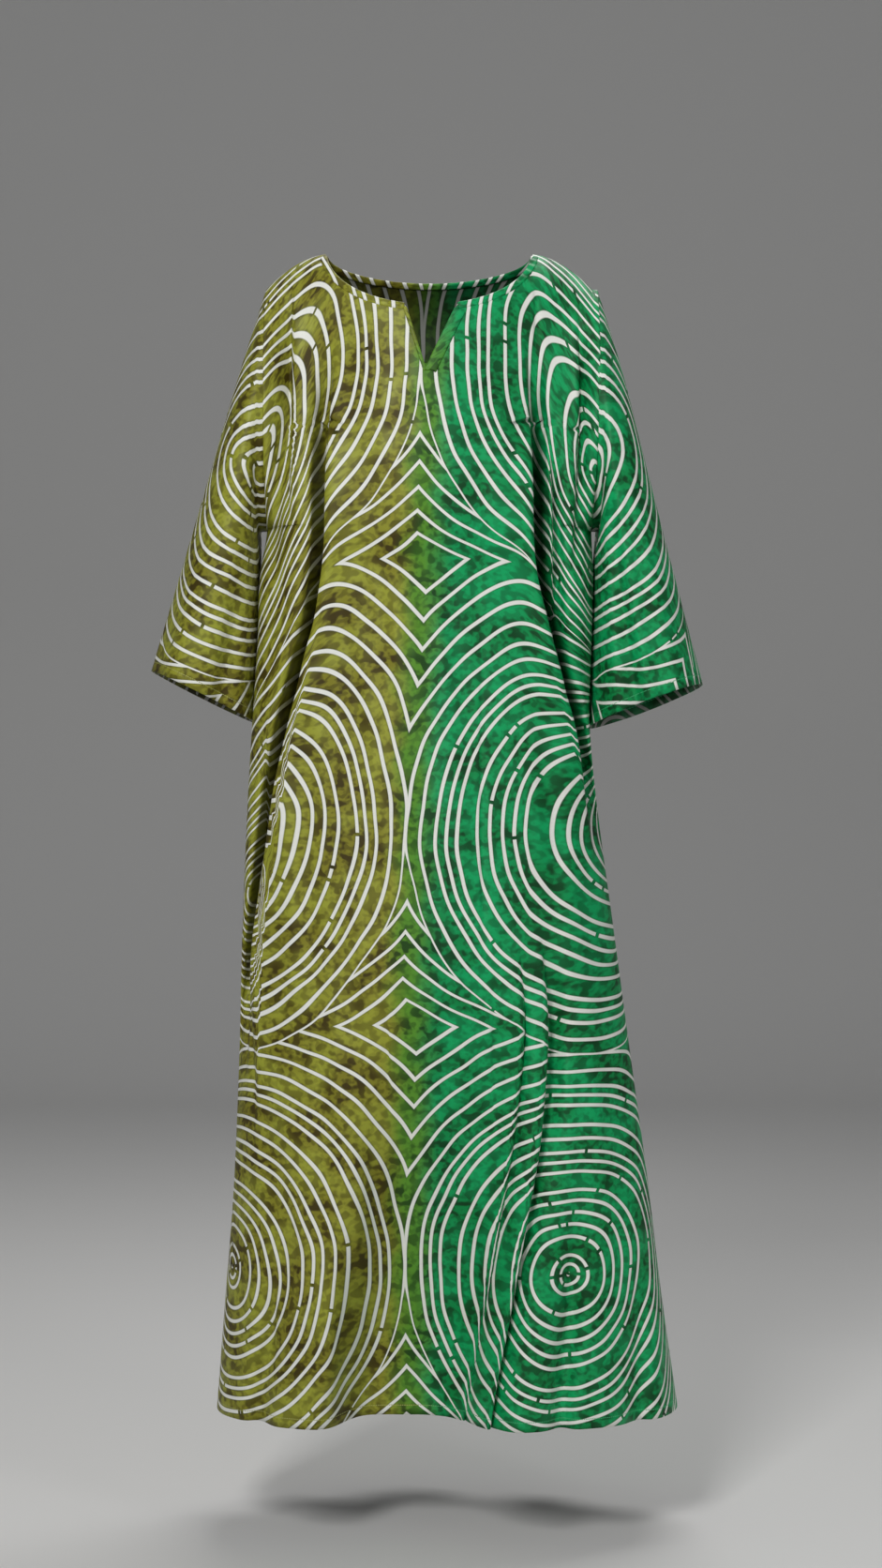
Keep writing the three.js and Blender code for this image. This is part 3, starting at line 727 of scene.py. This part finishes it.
# ---------------------------------------------------------------- back panel
# The back is cut like the front with a shallower neck. It hangs in four long folds from the
# shoulder blades to the hem.
back_folds = [
    fold(-104, -106, -140, -176, -200, -170, PAST_HEM, 180, 19, -34),
    fold(104, 106, 138, 182, 214, -170, PAST_HEM, 180, 19, -34),
    fold(-30, -34, -46, -66, -84, -330, PAST_HEM, 330, 24, -30),
    fold(34, 36, 44, 62, 92, -420, PAST_HEM, 380, 22, -34),
    fold(6, 4, 2, 4, 6, -700, PAST_HEM, 400, 24, 18),
    fold(-70, -74, -90, -120, -140, -260, -1200, 240, 10, -5),
    fold(70, 76, 92, 122, 150, -300, -1250, 240, 10, -6),
    fold(-150, -156, -170, -196, -226, -360, PAST_HEM, 260, 12, -7),
    fold(152, 158, 170, 208, 250, -360, PAST_HEM, 260, 12, -7),
]
BACK_ROWS = (48, 132)
BACK_COLUMNS = (44, 30)
back_points, back_cloth, back_turn = body_sheet(
    "back", back_folds, back_folds, *BACK_ROWS, BACK_COLUMNS)
back_points = soften(back_points, back_turn, 23)
back_removed = cut_neck("back", back_folds, back_points, BACK_ROWS[0])
back_piece = cloth_object("back_cloth", back_points, back_cloth, print_cloth,
                          removed=back_removed, flip=True, hem=back_points[..., 2] - HEM)
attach(back_piece, "root")
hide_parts("back_panel")

# ---------------------------------------------------------------- sleeves
# Each sleeve is a wide tube, sewn along its underarm and set into the armhole. It hangs down
# over the arm from the shoulder point, and its cuff stands open.
sleeve_cuts = {
    "sleeve_right": dict(side=-1, slot="olive_cloth", rows=[
        dict(along=0, outX=194, outZ=-43, inX=193, inZ=-330, front=80, back=76, tilt=0),
        dict(along=0.12, outX=203, outZ=-72, inX=203, inZ=-333, front=84, back=82, tilt=0),
        dict(along=0.35, outX=228, outZ=-150, inX=202, inZ=-362, front=90, back=90, tilt=1),
        dict(along=0.6, outX=260, outZ=-258, inX=202.5, inZ=-425, front=95, back=98, tilt=3),
        dict(along=0.8, outX=293, outZ=-369, inX=204.5, inZ=-490, front=97, back=102, tilt=5),
        dict(along=1, outX=331, outZ=-494, inX=209.5, inZ=-554, front=98, back=106, tilt=8),
    ], folds=[
        dict(angle=118, width=13, depth=-15, start=0.45),
        dict(angle=62, width=16, depth=7, start=0.5),
        dict(angle=250, width=17, depth=-16, start=0.3),
        dict(angle=300, width=17, depth=-12, start=0.4),
    ]),
    "sleeve_left": dict(side=1, slot="green_cloth", rows=[
        dict(along=0, outX=200, outZ=-43, inX=193, inZ=-330, front=80, back=76, tilt=0),
        dict(along=0.12, outX=209, outZ=-72, inX=202, inZ=-333, front=84, back=82, tilt=0),
        dict(along=0.35, outX=233, outZ=-152, inX=197, inZ=-362, front=90, back=90, tilt=2),
        dict(along=0.6, outX=261, outZ=-262, inX=194, inZ=-425, front=96, back=98, tilt=5),
        dict(along=0.8, outX=291, outZ=-377, inX=192, inZ=-492, front=99, back=103, tilt=9),
        dict(along=1, outX=326, outZ=-508, inX=190, inZ=-558, front=100, back=108, tilt=13),
    ], folds=[
        dict(angle=106, width=12, depth=-20, start=0.25),
        dict(angle=78, width=13, depth=-10, start=0.1),
        dict(angle=245, width=17, depth=-16, start=0.3),
        dict(angle=305, width=17, depth=-12, start=0.4),
    ]),
}
SLEEVE_ROWS = 96
SLEEVE_HALF_RING = 64
SLEEVE_PACKING = 1.15           # draws the rows together towards the armhole
COARSE_ROWS = 8                 # every so many rows and steps are kept to lay the sleeve flat
COARSE_STEPS = 4


def sleeve_surface(cut, along, angle):
    """Points of a sleeve: angle 0 is its outer line, 90 degrees its front, 180 its underarm."""
    value = {name: table_curve(cut["rows"], "along", name, along) for name in cut["rows"][0]}
    push = np.ones(np.broadcast(along, angle).shape)
    for f in cut["folds"]:
        turn = (np.degrees(angle) % 360 - f["angle"]) / f["width"]
        rise = smooth((along - f["start"]) / (1 - f["start"]))
        push = push + f["depth"] / 100 * rise * np.exp(-turn**2)
    reach = np.cos(angle) * push
    x = (value["outX"] + value["inX"]) / 2 + (value["outX"] - value["inX"]) / 2 * reach
    z = (value["outZ"] + value["inZ"]) / 2 + (value["outZ"] - value["inZ"]) / 2 * reach
    z = z - value["tilt"] * (1 - np.sin(angle)) / 2
    depth = np.where(np.sin(angle) > 0, value["front"], value["back"])
    return np.stack([cut["side"] * x, -depth * np.sin(angle) * push, z], axis=-1)


def unroll(points, rounds=60):
    """Lays a curved grid out flat with as little stretch as it can.

    Each triangle is turned to fit where its corners lie now, and then the corners are moved
    to where all their triangles would have them best, round after round."""
    rows, columns = points.shape[:2]
    number = np.arange(rows * columns).reshape(rows, columns)
    a, b, c, d = number[:-1, :-1], number[1:, :-1], number[1:, 1:], number[:-1, 1:]
    triangles = np.concatenate([np.stack(t, axis=-1).reshape(-1, 3)
                                for t in ((a, b, c), (a, c, d))])
    corners = points.reshape(-1, 3)[triangles]
    one, two = corners[:, 1] - corners[:, 0], corners[:, 2] - corners[:, 0]
    length = np.linalg.norm(one, axis=1)
    local = np.zeros((len(triangles), 3, 2))
    local[:, 1, 0] = length
    local[:, 2, 0] = (one * two).sum(axis=1) / length
    local[:, 2, 1] = -np.linalg.norm(np.cross(one, two), axis=1) / length
    matrix = np.zeros((rows * columns, rows * columns))
    matrix[0, 0] = 1
    sides = ((0, 1), (1, 2), (2, 0))
    for i, j in sides:
        for m, n, value in ((i, i, 1), (j, j, 1), (i, j, -1), (j, i, -1)):
            np.add.at(matrix, (triangles[:, m], triangles[:, n]), value)
    inverse = np.linalg.inv(matrix)
    around = np.linalg.norm(np.diff(points, axis=1), axis=-1).mean()
    down = np.linalg.norm(np.diff(points, axis=0), axis=-1).mean()
    grid = np.meshgrid(np.arange(columns) * around, np.arange(rows) * down)
    flat = np.stack(grid, axis=-1).reshape(-1, 2)
    for _ in range(rounds):
        now = flat[triangles]
        cosine, sine = np.zeros(len(triangles)), np.zeros(len(triangles))
        for i, j in sides:
            is_now, was = now[:, i] - now[:, j], local[:, i] - local[:, j]
            cosine += (is_now * was).sum(axis=1)
            sine += is_now[:, 1] * was[:, 0] - is_now[:, 0] * was[:, 1]
        turn = np.arctan2(sine, cosine)
        target = np.zeros((rows * columns, 2))
        for i, j in sides:
            edge = local[:, i] - local[:, j]
            turned = np.stack([edge[:, 0] * np.cos(turn) - edge[:, 1] * np.sin(turn),
                               edge[:, 0] * np.sin(turn) + edge[:, 1] * np.cos(turn)], axis=-1)
            np.add.at(target, triangles[:, i], turned)
            np.add.at(target, triangles[:, j], -turned)
        flat = inverse @ target
    return flat.reshape(rows, columns, 2)


def fit(flat, here, there):
    """Moves and turns a flat piece so that its points here come as near to there as can be."""
    p, q = here - here.mean(axis=0), there - there.mean(axis=0)
    angle = math.atan2((q[:, 1] * p[:, 0] - q[:, 0] * p[:, 1]).sum(), (p * q).sum())
    cosine, sine = math.cos(angle), math.sin(angle)
    rotation = np.array([[cosine, sine], [-sine, cosine]])
    return (flat - here.mean(axis=0)) @ rotation + there.mean(axis=0)


for name, cut in sleeve_cuts.items():
    rows, steps = np.arange(SLEEVE_ROWS + 1), np.arange(2 * SLEEVE_HALF_RING + 1)
    along = (rows / SLEEVE_ROWS)[:, None] ** SLEEVE_PACKING
    angle = math.pi * (1 - steps / SLEEVE_HALF_RING)[None, :]
    points = sleeve_surface(cut, along, angle)

    # The print runs on from the front's armhole edge over the sleeve laid flat.
    coarse = unroll(points[::COARSE_ROWS, ::COARSE_STEPS])
    edge = -1 if cut["side"] > 0 else 0
    armhole = front_cloth[:FRONT_ROWS[0] + 1, edge] * (cut["side"], 1)
    places = np.linspace(0, FRONT_ROWS[0], SLEEVE_HALF_RING // COARSE_STEPS + 1).astype(int)
    seam = armhole[::-1][places]
    coarse = fit(coarse, coarse[0, :len(seam)], seam)
    flat = np.stack([[np.interp(steps, steps[::COARSE_STEPS], row) for row in layer]
                     for layer in np.moveaxis(coarse, 2, 0)])
    flat = np.stack([[np.interp(rows, rows[::COARSE_ROWS], column) for column in layer.T]
                     for layer in flat])
    cloth = np.moveaxis(flat, 0, 2).transpose(1, 0, 2) * (cut["side"], 1)
    from_cuff = np.linalg.norm(points - points[-1:], axis=-1)
    piece = cloth_object(name + "_cloth", points, cloth, print_cloth, flip=cut["side"] < 0,
                         hem=from_cuff)
    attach(piece, "root")
    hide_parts(name)

# ---------------------------------------------------------------- neck binding
# A bias strip of the same cloth is rolled over the neck's edge and sewn down, from one top
# corner of the slit round the back to the other. It puckers a little along the curve. The
# slit's own edges are turned out: a wide plain turning on the left, a narrow one on the right.
BINDING_RING = 14
BINDING_WIDTH = 8.0
PUCKER = 12.4                   # from one pucker to the next
plain_cloth = printed_cloth("plain_edge_cloth", rings_seen=0.0)


def edge_strip(name, lines, width, half_thickness, lap, pucker, material):
    """A flat roll of cloth along an edge. lines holds the edge and points down the cloth from
    it, and lap is how far the roll stands out past the edge."""
    edge, below = lines[:, 0], lines[:, 1]
    forward = np.gradient(edge, axis=0)
    forward /= np.linalg.norm(forward, axis=1, keepdims=True)
    down_cloth = below - edge
    down_cloth -= forward * (down_cloth * forward).sum(axis=1, keepdims=True)
    down_cloth /= np.linalg.norm(down_cloth, axis=1, keepdims=True)
    outward = np.cross(forward, down_cloth)
    length = chain_lengths(edge)
    waves = pucker * (np.sin(length / PUCKER * 2 * math.pi + 1.3 * np.sin(length / 41))
                      * (0.6 + 0.4 * np.sin(length / 27 + 1)))
    around = np.linspace(0, 2 * math.pi, BINDING_RING, endpoint=False)
    wide = np.sign(np.cos(around)) * np.abs(np.cos(around)) ** 0.7 * width / 2
    thick = np.sign(np.sin(around)) * np.abs(np.sin(around)) ** 0.7 * half_thickness
    ends = smooth(np.minimum(length, length[-1] - length) / 2.5)[:, None] * 0.3 + 0.7
    points = (edge[:, None] + down_cloth[:, None] * (wide * ends + width / 2 - lap)[..., None]
              + outward[:, None] * (thick * ends * (1 + 0.22 * waves[:, None])
                                    + 0.25 * waves[:, None])[..., None])
    cloth = np.stack([points[..., 0] * 1.03, 6 - points[..., 2]
                      + np.broadcast_to(wide, points.shape[:2])], axis=-1)
    piece = cloth_object(name, points, cloth, material, closed=True, flip=True)
    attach(piece, "root")
    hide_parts("neck_binding")


def neck_lines(face, start, stop, steps):
    """The neck's edge and a line down the cloth from it, between two angles."""
    angle = np.radians(np.linspace(start, stop, steps))
    folds = front_folds if face == "front" else back_folds
    return np.stack([neck_surface(face, folds, (NECK["half_width"] + out) * np.sin(angle),
                                  np.maximum((NECK[face] + out) * np.cos(angle), 0.4))
                     for out in (0, BINDING_WIDTH)], axis=1)


corners = {side: math.degrees(math.asin(SLIT[side] / NECK["half_width"]))
           for side in ("right", "left")}
path = np.concatenate([neck_lines("front", corners["right"], -86, 110),
                       neck_lines("back", -86, 86, 220),
                       neck_lines("front", 86, corners["left"], 110)])
for _ in range(3):
    path[1:-1] = (path[:-2] + 2 * path[1:-1] + path[2:]) / 4
edge_strip("neck_binding_cloth", path, BINDING_WIDTH, half_thickness=1.35, lap=1.6, pucker=1.0,
           material=print_cloth)

for side, sign, width in (("right", -1, 3.4), ("left", 1, 13.0)):
    z = np.linspace(-NECK["front"] - 1, SLIT["tip_z"] - 2, 70)[::sign]
    x = slit_edge(sign, z)
    lines = np.stack([neck_surface("front", front_folds, x + sign * out, -z)
                      for out in (0, BINDING_WIDTH)], axis=1)
    lines[..., 1] -= 0.7        # on the outside of the panel
    edge_strip("slit_turning_" + side, lines, width, half_thickness=0.8, lap=0.6, pucker=0.2,
               material=plain_cloth)

# ---------------------------------------------------------------- floor and light
# A pale floor below the gown, which hangs at its height on a standing wearer, with a large
# soft light in front, a weaker one to the side and one above and behind.
FLOOR = -1.51
FLOOR_FRONT, FLOOR_BACK = -5.0, 4.4
SWEEP_RADIUS, SWEEP_STEPS = 1.2, 12
floor_mesh = bpy.data.meshes.new("floor")
reach = 6.0
sweep = [(-reach, FLOOR_FRONT, FLOOR), (reach, FLOOR_FRONT, FLOOR),
         (reach, FLOOR_BACK, FLOOR), (-reach, FLOOR_BACK, FLOOR)]
for step in range(1, SWEEP_STEPS + 1):
    bend = math.radians(90) * step / SWEEP_STEPS
    y = FLOOR_BACK + SWEEP_RADIUS * math.sin(bend)
    z = FLOOR + SWEEP_RADIUS * (1 - math.cos(bend))
    sweep += [(reach, y, z), (-reach, y, z)]
wall = FLOOR_BACK + SWEEP_RADIUS
sweep += [(reach, wall, 5.0), (-reach, wall, 5.0)]
faces = [(0, 1, 2, 3), (3, 2, 4, 5)]
faces += [(k + 1, k, k + 2, k + 3) for k in range(4, len(sweep) - 2, 2)]
floor_mesh.from_pydata(sweep, [], faces)
floor_mesh.polygons.foreach_set("use_smooth", [True] * len(floor_mesh.polygons))
floor = bpy.data.objects.new("floor", floor_mesh)
bpy.context.scene.collection.objects.link(floor)
paper = Recipe("pale_floor")
paper_shader = paper.node("ShaderNodeBsdfPrincipled", Base_Color=colour(222, 221, 219),
                          Roughness=0.85)
paper.node("ShaderNodeOutputMaterial", Surface=paper_shader)
floor_mesh.materials.append(paper.material)


def soft_light(name, place, aim, size, power):
    """A rectangular lamp that points at aim."""
    data = bpy.data.lights.new(name, "AREA")
    data.shape = "RECTANGLE"
    data.size, data.size_y = size
    data.energy = power
    lamp = bpy.data.objects.new(name, data)
    lamp.location = place
    direction = np.subtract(aim, place)
    flat = math.hypot(direction[0], direction[1])
    lamp.rotation_euler = (math.atan2(flat, -direction[2]), 0,
                           math.atan2(direction[0], -direction[1]) + math.pi)
    bpy.context.scene.collection.objects.link(lamp)


soft_light("key", (-0.9, -2.9, 1.3), (0.0, 0.0, -0.45), (0.8, 1.2), 66)
soft_light("fill", (2.0, -2.4, 0.3), (0.0, 0.0, -0.6), (0.7, 1.6), 10)
soft_light("top", (0.5, 1.2, 1.9), (0.0, 0.0, -0.4), (2.0, 1.2), 40)
world = bpy.data.worlds.new("studio")
world.use_nodes = True
world.node_tree.nodes["Background"].inputs["Color"].default_value = (0.95, 0.97, 1.0, 1)
world.node_tree.nodes["Background"].inputs["Strength"].default_value = 0.16
bpy.context.scene.world = world
bpy.context.scene.view_settings.view_transform = "Standard"
